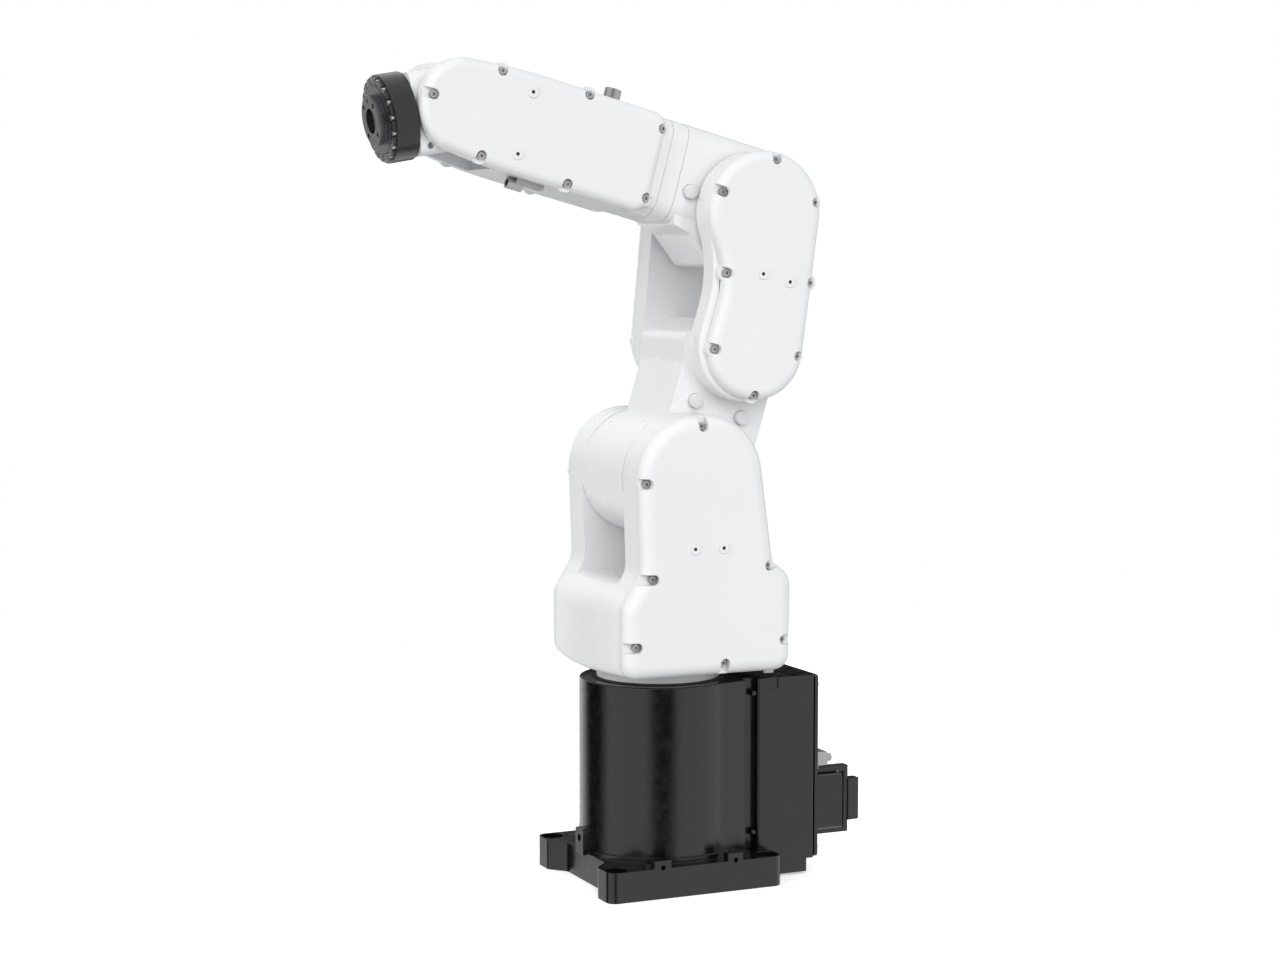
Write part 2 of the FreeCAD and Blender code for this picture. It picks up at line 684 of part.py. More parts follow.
def finish_cover(cover, sign, split, outer, screws, bosses, inset):
    """Hollow a side cover, cut its screw pockets and raise its two plug bosses."""
    wall = size("cover_wall")
    reach = size("screw_pocket_radius")
    boss = size("boss_radius")
    positive = sign > 0
    pocket(cover, "side", sign * (split - 1.0), outer - split - wall + 1.0, [inset], positive=positive)
    posts = [circle(x, z, reach + 2.4) for x, z, heading in screws]
    pad(cover, "side", sign * (split + 0.1), 4.4, posts, positive=positive)
    pockets = [u_pocket(x, z, reach, heading, 14.0) for x, z, heading in screws]
    for outline in pockets:
        pocket(cover, "side", sign * (split + 4.0), 20.0, [outline], positive=positive)
    pocket(cover, "side", sign * (split - 1.0), 8.0, [circle(x, z, 1.7) for x, z, heading in screws],
           positive=positive)
    pad(cover, "side", sign * (outer - wall), wall + 0.7, [circle(x, z, boss) for x, z in bosses],
        positive=positive)
    pocket(cover, "side", sign * (outer - 3.0), 6.0, [circle(x, z, 1.5) for x, z in bosses],
           positive=positive)


# ---------------------------------------------------------------- lower arm
# Local frame: origin on the shoulder axis, +Z towards the elbow axis, +X to the arm's front.
def arm_outline(foot_x, foot_radius, hollow_radius, grow=0.0):
    """A fork arm from the side: elbow head, hollow front and a round foot; grow moves it outwards."""
    length = size("upper_arm_length")
    head = size("arm_head_radius") + grow
    foot = foot_radius + grow
    foot_z = 117.5
    # The hollow arc meets the front line and the head without a corner.
    hollow = hollow_radius - grow
    front = foot_x + foot
    centre_x = front + hollow
    centre_z = length - math.sqrt((head + hollow) ** 2 - centre_x ** 2)
    lean = math.atan2(length - centre_z, -centre_x)
    meet = Vector(centre_x + hollow * math.cos(lean), centre_z + hollow * math.sin(lean), 0)
    middle_turn = (lean + math.pi) / 2
    hollow_middle = Vector(centre_x + hollow * math.cos(middle_turn),
                           centre_z + hollow * math.sin(middle_turn), 0)
    # The rear edge is the outer tangent of foot and head.
    slope = math.atan2(length - foot_z, -foot_x)
    turn = slope + math.acos((foot - head) / math.hypot(length - foot_z, foot_x))
    out = Vector(math.cos(turn), math.sin(turn), 0)
    foot_rear = Vector(foot_x, foot_z, 0) + out * foot
    head_rear = Vector(0, length, 0) + out * head
    return [
        Part.Arc(head_rear, Vector(head * math.cos(1.2), length + head * math.sin(1.2), 0), meet),
        Part.Arc(meet, hollow_middle, Vector(front, centre_z, 0)),
        Part.LineSegment(Vector(front, centre_z, 0), Vector(front, foot_z, 0)),
        Part.Arc(Vector(front, foot_z, 0), Vector(foot_x, foot_z - foot, 0), foot_rear),
        Part.LineSegment(foot_rear, head_rear),
    ]


def far_arm_outline(grow=0.0):
    """The far fork arm is plain: its foot and its head are joined by straight tangents."""
    return slot((-15.0, 117.5), 43.5 + grow, (0, size("upper_arm_length")),
                size("arm_head_radius") + grow)


def build_lower_arm():
    length = size("upper_arm_length")
    half = size("arm_width") / 2
    split = half - size("arm_cover_depth")
    gap = size("fork_gap") / 2
    inner = size("barrel_width") / 2
    barrel = size("barrel_radius")
    edge = size("arm_edge_round")
    seam = size("seam_gap")
    near_foot = -24.5
    motor_z = 104.0
    cover_outlines = {"near": arm_outline(near_foot, 42.5, 70.0), "far": far_arm_outline()}
    insets = {"near": arm_outline(near_foot, 42.5, 70.0, -11.0), "far": far_arm_outline(-11.0)}

    # The casting's fork arms; the near one stands a little proud of its cover at the front.
    rear = -59.5
    front = 24.0
    top = 134.0
    barrel_round = [circle(0, 0, barrel)]
    trunk = [(rear, 0, 14), (rear, top, 18), (4.0, top, 10), (front + 6, 113.0, 10), (front, 92.0, 14),
             (front, 42.0, 18), (barrel - 9, 14.0, 10), (10.0, -20.0, 0), (-30, -34, 14)]
    casting = new_body("lower_arm_casting")
    pad(casting, "side", 0.0, "barrel_width", [rounded(trunk)], both=True)
    pad(casting, "side", 0.0, "barrel_width", barrel_round, both=True)
    pad(casting, "side", inner, split - inner, [arm_outline(near_foot + 3.0, 45.5, 100.0)])
    pad(casting, "side", -inner, split - inner, [far_arm_outline()], positive=False)
    round_edges(casting, 3.0, lambda p: near(p.y, split) and p.x > -10 and 125 < p.z < 200)
    far_end = [circle(0, 0, 20.0)]
    pad(casting, "side", -inner + 1.0, 12.0, far_end, positive=False)
    # Elbow seats, belt room behind the near cover, motor bore and the shoulder's reducer seat.
    pocket(casting, "side", inner - 3.0, 60.0, [circle(0, length, 30.3)], positive=True)
    pocket(casting, "side", gap + 8.0, 40.0, [slot((near_foot, 117.5), 33.0, (0, length), 36.0)],
           positive=True)
    pocket(casting, "side", -inner + 3.0, 40.0, [circle(0, length, 24.05)], positive=False)
    pocket(casting, "side", -gap - 8.0, 40.0, [slot((-15.0, 117.5), 33.0, (0, length), 30.0)],
           positive=False)
    pocket(casting, "side", 0.0, 2 * gap + 30.0, [circle(near_foot, motor_z, 24.0)], both=True)
    seat = 22.3
    pocket(casting, "side", 39.9, 12.0, [rectangle(near_foot - seat, motor_z - seat,
                                                   near_foot + seat, motor_z + seat, 1)], positive=True)
    pocket(casting, "side", 8.0, 60.0, [circle(0, 0, 37.0)], positive=True)
    pocket(casting, "side", 0.0, 40.0, [circle(0, 0, 9.0)], positive=False)
    pocket(casting, "side", -20.0, 60.0, [circle(0, 0, 9.0)], positive=False)
    # Holes for the two plugs in the strut's near face.
    plug_places = [(4.5, 63.5), (-40.0, 61.3)]
    pocket(casting, "side", inner - 1.2, 6.0, [circle(x, z, 6.1) for x, z in plug_places],
           positive=True)
    node("lower_arm", casting)

    plugs = []
    for index, (x, z) in enumerate(plug_places, start=1):
        plug = new_body(f"arm_plug_{index}")
        pad(plug, "side", inner - 1.15, 6.4, [circle(x, z, 5.9)])
        round_edges(plug, 0.8, lambda p: near(p.y, inner + 5.25))
        plugs.append(plug)
    node("lower_arm", group("lower_arm_plugs", plugs))

    screws = {
        "near": [(4.4, 268.5, 85), (-40.5, 246.0, 150), (-55.5, 182.0, 175), (-61.5, 121.0, 180),
                 (-32.5, 79.5, -100), (12.0, 106.2, 0), (19.8, 168.0, 0), (42.0, 229.3, 5)],
        "far": [(4.4, 268.5, 85), (-40.5, 246.0, 150), (-50.0, 182.0, 175), (-53.0, 121.0, 180),
                (-23.0, 79.5, -100), (21.5, 106.2, 0), (32.5, 168.0, 0), (42.0, 229.3, 5)],
    }
    bosses = [(-10.3, 176.2), (-35.6, 176.9)]
    places = []
    for name, sign in (("near", 1), ("far", -1)):
        cover = new_body(f"lower_arm_cover_{name}")
        start = sign * (split + seam)
        pad(cover, "side", start, half - split - seam, [cover_outlines[name]], positive=sign > 0)
        round_edges(cover, edge, lambda p, s=sign: near(p.y, s * half))
        shift = 0.0 if sign > 0 else 9.5
        places_of_bosses = [(x + shift, z) for x, z in bosses]
        finish_cover(cover, sign, split, half, screws[name], places_of_bosses, insets[name])
        node("lower_arm", cover)
        places += [(x, sign * (split + 4.0), z, sign) for x, z, heading in screws[name]]
    cap_screws("lower_arm", "lower_arm_cover_screws", places, size("screw_head_radius"), 3.2, 1.5, 3.5)

    motor("lower_arm", "j3_motor", 23.0, 88.0, (near_foot, -42.0, motor_z), "Y", 44.0, 5.0, 16.0)
    track = gap + 14.0
    wheels = [pulley("j3_motor_pulley", 12.0, 8.0, (near_foot, track, motor_z), 5.0),
              pulley("j3_input_pulley", 20.0, 8.0, (0, track, length), 5.0)]
    node("lower_arm", group("j3_pulleys", wheels))
    belt("lower_arm", "j3_belt", (near_foot, motor_z), 12.0, (0, length), 20.0, track + 0.5, 7.0)
    node("lower_arm", fuse("j3_reducer", [
        cylinder("j3_reducer_case", 30.0, 34.4, (0, 14.6, length), "Y"),
        cylinder("j3_reducer_input", 5.0, 19.0, (0, 48.0, length), "Y"),
    ]))
    node("lower_arm", cut("j3_support_bearing",
                          cylinder("j3_bearing_outer", 24.0, 12.0, (0, -gap - 12.0, length), "Y"),
                          cylinder("j3_bearing_bore", 16.05, 40.0, (0, -gap - 30.0, length), "Y")))


# ---------------------------------------------------------------- elbow
# Local frame: origin on the elbow axis, +X along the forearm, +Z square to it.
def square_section(width, height, corner, centre):
    """The rounded square section that the elbow, the collar and the forearm's root share."""
    half = width / 2
    tall = height / 2
    return rectangle(-half, centre - tall, half, centre + tall, corner)


def build_elbow():
    inner = size("elbow_barrel_width") / 2
    offset = size("elbow_offset")
    width = size("elbow_width")
    height = size("forearm_height")
    seam = size("seam_distance")
    radius = size("elbow_barrel_radius")

    housing = new_body("elbow_housing_form")
    pad(housing, "front", -44.0, seam + 44.0, [square_section(width, height, 17, offset)])
    # The rear end is drawn down to the barrel by a large round, seen from the side.
    tail = [(-60, 80, 0), (-60, -60, 0), (-20, -60, 0), (-44, -4, 20), (-40, 30, 30), (-14, 57, 12),
            (-12, 80, 0)]
    pocket(housing, "side", 0.0, 120.0, [rounded(tail)], both=True)
    barrel = new_body("elbow_barrel_form")
    pad(barrel, "side", 0.0, "elbow_barrel_width", [circle(0, 0, radius)], both=True)
    chin = [(0, 0, 0), (-4, -46, 0), (20, -50.5, 8), (46, -30.5, 8), (64, -26, 4), (64, 0, 0)]
    pad(barrel, "side", 0.0, "elbow_width - 6", [rounded(chin)], both=True)
    form = fuse("elbow_form", [housing, barrel])
    doc.recompute()

    casting = new_body("elbow_casting", form)
    pocket(casting, "side", 14.0, 60.0, [circle(0, 0, 31.0)], positive=True)
    stub = [circle(0, 0, 16.0)]
    pad(casting, "side", -inner + 1.0, 12.0, stub, positive=False)
    pocket(casting, "side", 0.0, 80.0, [circle(0, 0, 8.0)], positive=False)
    pocket(casting, "front", 24.0, 60.0, [circle(0, offset, 29.2)], positive=True)
    pocket(casting, "side", width / 2 - 1.2, 8.0, [circle(57.4, 2.0, 6.0)], positive=True)
    node("elbow", casting)

    plug = new_body("elbow_plug")
    pad(plug, "side", width / 2 - 1.15, 5.6, [circle(57.4, 2.0, 5.8)])
    round_edges(plug, 0.8, lambda p: near(p.y, width / 2 + 4.45))
    node("elbow", plug)
    motor("elbow", "j4_motor", 13.4, 17.0, (24.1, 0, offset), "X", 27.0, 4.0, 3.0)
    node("elbow", cut("j4_reducer",
                      cylinder("j4_reducer_case", 29.0, seam - 41.4, (41.2, 0, offset), "X"),
                      cylinder("j4_reducer_bore", 4.1, 60.0, (30.0, 0, offset), "X")))


# ---------------------------------------------------------------- forearm
# Local frame: origin on the forearm's roll axis below the elbow axis, +X along the forearm.
def forearm_side(grow=0.0, rear=91.0):
    """The forearm from the side: round nose on the wrist axis, slightly deeper towards the root."""
    reach = size("forearm_length")
    nose = size("nose_radius") + grow
    tall = size("forearm_height") / 2 + grow
    start = rear - grow
    knee = 190.0
    corner = 13.0
    lean = math.radians(70)
    side = nose * math.sin(lean)
    return [
        Part.Arc(Vector(reach + nose * math.cos(lean), -side, 0), Vector(reach + nose, 0, 0),
                 Vector(reach + nose * math.cos(lean), side, 0)),
        Part.Arc(Vector(reach + nose * math.cos(lean), side, 0),
                 Vector(reach - 16.0, nose + 0.9, 0), Vector(knee, tall, 0)),
        Part.LineSegment(Vector(knee, tall, 0), Vector(start + corner, tall, 0)),
        Part.Arc(Vector(start + corner, tall, 0),
                 Vector(start + corner * 0.293, tall - corner * 0.293, 0),
                 Vector(start, tall - corner, 0)),
        Part.LineSegment(Vector(start, tall - corner, 0), Vector(start, corner - tall, 0)),
        Part.Arc(Vector(start, corner - tall, 0),
                 Vector(start + corner * 0.293, corner * 0.293 - tall, 0),
                 Vector(start + corner, -tall, 0)),
        Part.LineSegment(Vector(start + corner, -tall, 0), Vector(knee, -tall, 0)),
        Part.Arc(Vector(knee, -tall, 0), Vector(reach - 16.0, -nose - 0.9, 0),
                 Vector(reach + nose * math.cos(lean), -side, 0)),
    ]


def build_forearm():
    width = size("forearm_width")
    half = width / 2
    split = half - size("forearm_cover_depth")
    root_width = size("elbow_width")
    height = size("forearm_height")
    seam = size("seam_distance")
    collar_end = seam + 0.3 + size("collar_length")
    reach = size("forearm_length")
    edge = size("forearm_edge_round")
    seam_open = size("seam_gap")
    slot_half = size("nose_gap") / 2

    form = new_body("forearm_form")
    pad(form, "side", 0.0, "forearm_width", [forearm_side()], both=True)
    round_edges(form, edge, lambda p: near(abs(p.y), half))
    root = new_body("forearm_root_form")
    pad(root, "front", collar_end + 0.2, 30.0, [square_section(root_width, height - 1.0, 17, 0.0)])
    whole = fuse("forearm_outside", [form, root])
    doc.recompute()

    blank = common("forearm_blank", whole,
                   block("forearm_blank_box", (0, -split, -80), (320, split, 80)))
    casting = new_body("forearm_casting", blank)
    # Slot between the nose arms: a cylinder's clearance round the wrist, open to the front.
    clear = 54.0
    slot_room = [Part.Arc(Vector(reach, clear, 0), Vector(reach - clear, 0, 0),
                          Vector(reach, -clear, 0)),
                 Part.LineSegment(Vector(reach, -clear, 0), Vector(reach + 60, -clear, 0)),
                 Part.LineSegment(Vector(reach + 60, -clear, 0), Vector(reach + 60, clear, 0)),
                 Part.LineSegment(Vector(reach + 60, clear, 0), Vector(reach, clear, 0))]
    pocket(casting, "side", 0.0, "nose_gap", [slot_room], both=True)
    # Motor bay from the far side, belt room from the near side, seats for reducer and bearing.
    bay = rectangle(104, -32, 194, 32, 6)
    pocket(casting, "side", 20.0, 90.0, [bay], positive=False)
    pocket(casting, "side", 28.8, 20.0, [slot((150, 0), 24.0, (reach, 0), 24.5)], positive=True)
    pocket(casting, "side", 10.0, 30.0, [circle(150, 0, 12.0)], positive=True)
    pocket(casting, "side", 20.0, 20.0, [circle(reach, 0, 22.2)], positive=True)
    pocket(casting, "side", -20.0, 30.0, [circle(reach, 0, 14.05)], positive=False)
    pocket(casting, "front", collar_end - 1.0, 30.0, [circle(0, 0, 13.0)], positive=True)
    node("forearm", casting)

    collar = new_body("forearm_collar")
    pad(collar, "front", seam + 0.3, "collar_length", [square_section(root_width, height - 0.6, 17, 0)])
    pocket(collar, "front", seam - 1.0, None, [circle(0, 0, 12.0)], positive=True)
    node("forearm", collar)

    screws = [(289.5, 0.5, 0), (239.2, 34.4, 90), (163.3, 37.2, 90), (94.8, 28.9, 150),
              (94.8, -28.7, 210), (163.7, -36.4, -90), (239.6, -34.6, -90)]
    bosses = [(211.0, 25.2), (211.3, -25.2)]
    places = []
    for name, sign in (("near", 1), ("far", -1)):
        low = split + seam_open if sign > 0 else -half - 1
        high = half + 1 if sign > 0 else -split - seam_open
        part = common(f"forearm_{name}_blank", whole,
                      block(f"forearm_{name}_box", (0, low, -80), (320, high, 80)))
        cover = new_body(f"forearm_cover_{name}", part)
        finish_cover(cover, sign, split, half, screws, bosses, forearm_side(-9.5))
        node("forearm", cover)
        places += [(x, sign * (split + 4.0), z, sign) for x, z, heading in screws]
    cap_screws("forearm", "forearm_cover_screws", places, size("screw_head_radius"), 3.0, 1.5, 3.5)

    # Hose fitting and blanking cap on top, angled outlet below the near side.
    top = height / 2
    fitting = fuse("top_fitting_body", [
        cylinder("top_fitting_barrel", 6.8, 12.0, (131, 8, top + 0.05), "Z"),
        cylinder("top_fitting_seat", 8.4, 1.2, (131, 8, top + 0.05), "Z"),
    ])
    node("forearm", group("forearm_top_fitting", [
        cut("top_fitting_socket", fitting,
            cylinder("top_fitting_bore", 4.2, 12.0, (131, 8, top + 3.0), "Z")),
        cylinder("top_fitting_cap", 2.6, 1.6, (116, 8, top + 0.05), "Z"),
    ]))
    outlet_z = -top - 5.0
    outlet = fuse("outlet_body", [
        cylinder("outlet_tube", 4.8, 13.0, (193.0, 20, outlet_z), "X"),
        block("outlet_foot", (176, 15, -top - 4.0), (200, 25, -top - 0.05)),
    ])
    node("forearm", cut("forearm_lower_fitting", outlet,
                        cylinder("outlet_bore", 3.1, 10.0, (198.0, 20, outlet_z), "X")))

    motor("forearm", "j5_motor", 20.0, 50.0, (150, -30.0, 0), "Y", 40.0, 4.0, 12.0)
    track = 29.6
    wheels = [pulley("j5_motor_pulley", 9.0, 6.0, (150, track + 1.0, 0), 4.0),
              pulley("j5_input_pulley", 14.0, 6.0, (reach, track + 1.0, 0), 4.0)]
    node("forearm", group("j5_pulleys", wheels))
    belt("forearm", "j5_belt", (150, 0), 9.0, (reach, 0), 14.0, track + 1.5, 5.0)
    node("forearm", fuse("j5_reducer", [
        cylinder("j5_reducer_case", 22.0, 18.6, (reach, 10.0, 0), "Y"),
        cylinder("j5_reducer_input", 4.0, 14.0, (reach, 24.0, 0), "Y"),
    ]))
    node("forearm", cut("j5_support_bearing",
                        cylinder("j5_bearing_outer", 14.0, 6.0, (reach, -slot_half - 6.2, 0), "Y"),
                        cylinder("j5_bearing_bore", 9.05, 30.0, (reach, -slot_half - 15.0, 0), "Y")))


# ---------------------------------------------------------------- wrist and tool flange
# Local frame: origin on the wrist axis, +X along the tool axis.
def build_wrist():
    half = size("wrist_width") / 2
    radius = size("wrist_radius")
    start = size("wrist_ring_start")
    end = size("wrist_ring_end")
    ring_radius = size("wrist_ring_radius")

    housing = new_body("wrist_housing")
    side = [Part.Arc(Vector(0, -radius, 0), Vector(-radius, 0, 0), Vector(0, radius, 0)),
            Part.LineSegment(Vector(0, radius, 0), Vector(start - 0.2, radius, 0)),
            Part.LineSegment(Vector(start - 0.2, radius, 0), Vector(start - 0.2, -radius, 0)),
            Part.LineSegment(Vector(start - 0.2, -radius, 0), Vector(0, -radius, 0))]
    pad(housing, "side", 0.0, "wrist_width", [side], both=True)
    round_edges(housing, 7.0, lambda p: near(abs(p.y), half) and p.x < start - 0.5
                or near(abs(p.y), half) and near(abs(p.z), radius))
    pad(housing, "side", -half + 0.5, 7.0, [circle(0, 0, 9.0)], positive=False)
    pocket(housing, "side", 9.5, 40.0, [circle(0, 0, 23.0)], positive=True)
    pocket(housing, "front", 25.0, 30.0, [circle(0, 0, 18.3)], positive=True)
    pocket(housing, "side", half - 8.0, 12.0, [circle(34.0 - 3.5, -26.0, 2.6)], positive=True)
    node("wrist", housing)

    ring = new_body("wrist_ring")
    pad(ring, "front", "wrist_ring_start", "wrist_ring_end - wrist_ring_start", [circle(0, 0, ring_radius)])
    pad(ring, "front", end - 1.0, 4.0, [circle(0, 0, ring_radius - 1.8)])
    pocket(ring, "front", start + 3.0, 30.0, [circle(0, 0, 27.3)], positive=True)
    pocket(ring, "front", start - 1.0, 10.0, [circle(0, 0, 14.0)], positive=True)
    # Castellations: a row of screw seats round the front rim.
    seats = []
    count = 16
    for index in range(count):
        turn = 2 * math.pi * index / count
        seats.append(circle(31.0 * math.cos(turn), 31.0 * math.sin(turn), 3.0))
    pocket(ring, "front", end + 0.2, 5.0, seats, positive=True)
    round_edges(ring, 0.8, lambda p: near(p.x, start) and math.hypot(p.y, p.z) > 34)
    node("wrist", ring)

    screws = []
    for index in range(count):
        turn = 2 * math.pi * index / count
        y = 31.0 * math.cos(turn)
        z = 31.0 * math.sin(turn)
        head = cylinder(f"ring_screw_{index + 1}_head", 2.1, 2.6, (end + 0.25, y, z), "X")
        socket = doc.addObject("Part::Prism", f"ring_screw_{index + 1}_socket")
        socket.Polygon = 6
        socket.Circumradius = 1.25
        socket.Height = 3.0
        socket.Placement = Placement(Vector(end + 1.4, y, z), AXES["X"])
        screws.append(cut(f"ring_screw_{index + 1}", head, socket))
    node("wrist", group("wrist_ring_screws", screws))

    node("wrist", cut("j6_motor", cylinder("j6_motor_case", 18.0, 13.6, (25.1, 0, 0), "X"),
                      cylinder("j6_motor_bore", 3.0, 30.0, (20.0, 0, 0), "X")))
    node("wrist", cut("j6_reducer", cylinder("j6_reducer_case", 26.0, 14.0, (start + 3.05, 0, 0), "X"),
                      cylinder("j6_reducer_bore", 3.0, 40.0, (start, 0, 0), "X")))

    flange = new_body("tool_flange")
    face = size("flange_reach")
    hub = size("flange_hub_radius")
    pad(flange, "front", face, face - 56.2, [circle(0, 0, hub)], positive=False)
    pad(flange, "front", 56.2, 5.0, [circle(0, 0, 27.0)])
    pocket(flange, "front", face - 6.0, 10.0, [circle(0, 0, size("flange_bore_radius"))],
           positive=True)
    circle_radius = size("flange_bolt_circle") / 2
    holes = []
    for index in range(4):
        turn = math.pi / 4 + index * math.pi / 2
        holes.append(circle(circle_radius * math.cos(turn), circle_radius * math.sin(turn),
                            size("flange_hole_radius")))
    pocket(flange, "front", face - 8.0, 12.0, holes, positive=True)
    pocket(flange, "front", face - 6.0, 12.0, [circle(0, circle_radius, 1.6)], positive=True)
    round_edges(flange, 0.6, lambda p: near(p.x, face) and math.hypot(p.y, p.z) > hub - 0.5)
    node("flange", flange)


# ---------------------------------------------------------------- rest pose, checks and files
def link_frames():
    """Where each link's own frame stands at the rest pose."""
    lean = size("lean_back")
    pitch = size("forearm_pitch")
    bend = size("wrist_bend")
    across = Vector(0, 1, 0)
    ground = Placement()
    shoulder = Placement(Vector(0, 0, size("shoulder_height")), Rotation(across, -lean))
    elbow = shoulder * Placement(Vector(0, 0, size("upper_arm_length")),
                                 Rotation(across, lean - pitch))
    roll = elbow * Placement(Vector(0, 0, size("elbow_offset")), Rotation())
    wrist = roll * Placement(Vector(size("forearm_length"), 0, 0), Rotation(across, bend))
    return {"base": ground, "lever": ground, "turret": ground, "lower_arm": shoulder,
            "elbow": elbow, "forearm": roll, "wrist": wrist, "flange": wrist}


def check_model():
    """Stop at a failed feature, an empty or invalid shape, or a pocket that removes nothing."""
    for feature in doc.Objects:
        if "Invalid" in feature.State or "Error" in feature.State:
            raise RuntimeError(f"{feature.Name} failed: {feature.State}")
        if feature.TypeId == "PartDesign::Pocket":
            before = feature.BaseFeature.Shape.Volume
            if before - feature.Shape.Volume < 0.01:
                raise RuntimeError(f"{feature.Name} removes nothing")
    for things in LINKS.values():
        for thing in things:
            if thing.Shape.isNull() or not thing.Shape.isValid():
                raise RuntimeError(f"{thing.Label} has no valid shape")


build_base()
build_turret()
build_lower_arm()
build_elbow()
build_forearm()
build_wrist()
frames = link_frames()
for link_name, things in LINKS.items():
    for thing in things:
        thing.Placement = frames[link_name] * thing.Placement
doc.recompute()
check_model()

os.makedirs("parts", exist_ok=True)
for things in LINKS.values():
    for thing in things:
        thing.Shape.exportStep(f"parts/{thing.Label}.step")
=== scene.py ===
import json
import math

import bmesh
import bpy
from mathutils import Matrix, Vector


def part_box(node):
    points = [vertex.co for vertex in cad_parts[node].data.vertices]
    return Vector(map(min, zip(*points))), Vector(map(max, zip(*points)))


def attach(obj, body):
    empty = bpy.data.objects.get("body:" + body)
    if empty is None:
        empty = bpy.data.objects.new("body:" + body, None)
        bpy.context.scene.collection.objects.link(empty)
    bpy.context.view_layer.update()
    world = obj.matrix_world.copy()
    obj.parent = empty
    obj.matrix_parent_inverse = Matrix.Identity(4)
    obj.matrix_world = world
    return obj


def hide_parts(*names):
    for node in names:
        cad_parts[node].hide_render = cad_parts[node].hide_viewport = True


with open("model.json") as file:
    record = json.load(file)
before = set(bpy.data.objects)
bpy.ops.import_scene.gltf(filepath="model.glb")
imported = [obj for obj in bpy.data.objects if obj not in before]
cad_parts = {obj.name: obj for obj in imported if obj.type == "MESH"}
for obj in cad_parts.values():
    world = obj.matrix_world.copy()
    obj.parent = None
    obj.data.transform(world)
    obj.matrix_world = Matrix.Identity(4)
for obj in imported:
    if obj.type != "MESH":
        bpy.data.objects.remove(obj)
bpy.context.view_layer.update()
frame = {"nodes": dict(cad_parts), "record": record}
nodes = frame["nodes"]
record = frame["record"]
MM = 0.001
EDGE_RADIUS = 0.6 * MM      # how far the materials round off a sharp edge
NOISE_LOW = 0.3             # nearly all of a noise pattern lies between these two
NOISE_HIGH = 0.7
MESH_GAP = 0.02 * MM        # imported points closer than this are the same point


# ---------------------------------------------------------------- materials
class Surface:
    """A procedural material: a Principled shader and helpers that add texture nodes to it."""

    def __init__(self, name, colour, roughness, metallic=0.0):
        self.material = bpy.data.materials.new(name)
        self.material.use_nodes = True
        self.tree = self.material.node_tree
        self.shader = self.tree.nodes["Principled BSDF"]
        self.shader.inputs["Base Color"].default_value = (*colour, 1.0)
        self.shader.inputs["Roughness"].default_value = roughness
        self.shader.inputs["Metallic"].default_value = metallic
        self.place = self.add("ShaderNodeTexCoord").outputs["Object"]
        edge = self.add("ShaderNodeBevel", samples=4)
        edge.inputs["Radius"].default_value = EDGE_RADIUS
        self.normal = edge.outputs["Normal"]

    def add(self, kind, **settings):
        node = self.tree.nodes.new(kind)
        for name, value in settings.items():
            setattr(node, name, value)
        return node

    def link(self, source, target):
        self.tree.links.new(source, target)

    def noise(self, scale, detail=3.0, stretch=(1, 1, 1)):
        """Noise over the object's own coordinates; the scale counts features per metre."""
        mapping = self.add("ShaderNodeMapping")
        mapping.inputs["Scale"].default_value = stretch
        self.link(self.place, mapping.inputs["Vector"])
        texture = self.add("ShaderNodeTexNoise")
        texture.inputs["Scale"].default_value = scale
        texture.inputs["Detail"].default_value = detail
        self.link(mapping.outputs["Vector"], texture.inputs["Vector"])
        return texture.outputs["Fac"]

    def spread(self, source, low, high):
        """Map the middle of a noise pattern to a range of values."""
        ramp = self.add("ShaderNodeMapRange")
        ramp.inputs["From Min"].default_value = NOISE_LOW
        ramp.inputs["From Max"].default_value = NOISE_HIGH
        ramp.inputs["To Min"].default_value = low
        ramp.inputs["To Max"].default_value = high
        self.link(source, ramp.inputs["Value"])
        return ramp.outputs["Result"]

    def tint(self, source, low, high):
        """Blend the base colour between two shades with a 0..1 pattern."""
        mix = self.add("ShaderNodeMix", data_type="RGBA")
        mix.inputs["A"].default_value = (*low, 1.0)
        mix.inputs["B"].default_value = (*high, 1.0)
        self.link(source, mix.inputs["Factor"])
        self.link(mix.outputs["Result"], self.shader.inputs["Base Color"])

    def rough(self, source, low, high):
        """Vary the roughness between two values with a 0..1 pattern."""
        self.link(self.spread(source, low, high), self.shader.inputs["Roughness"])

    def bump(self, source, depth, strength):
        """Raise the surface with a pattern; the depth is in metres. Later calls add to earlier ones."""
        node = self.add("ShaderNodeBump")
        node.inputs["Strength"].default_value = strength
        node.inputs["Distance"].default_value = depth
        self.link(source, node.inputs["Height"])
        self.link(self.normal, node.inputs["Normal"])
        self.normal = node.outputs["Normal"]
        self.link(self.normal, self.shader.inputs["Normal"])


def shade(colour, factor):
    return tuple(min(1.0, channel * factor) for channel in colour)


def powder_coat(name, colour, roughness, peel_scale, peel_depth, dust=0.05):
    """Sprayed and baked paint: orange peel, uneven gloss and a little settled dust."""
    paint = Surface(name, colour, roughness)
    cloud = paint.noise(9.0, detail=4.0)
    gloss = paint.noise(140.0, detail=2.0)
    paint.tint(paint.spread(cloud, 0.0, 1.0), shade(colour, 1.0 - dust), shade(colour, 1.0 + dust * 0.4))
    paint.rough(gloss, roughness - 0.05, roughness + 0.07)
    paint.bump(paint.noise(peel_scale, detail=1.5), peel_depth, 0.45)
    paint.bump(paint.noise(peel_scale * 5.0, detail=2.0), peel_depth * 0.25, 0.35)
    return paint.material


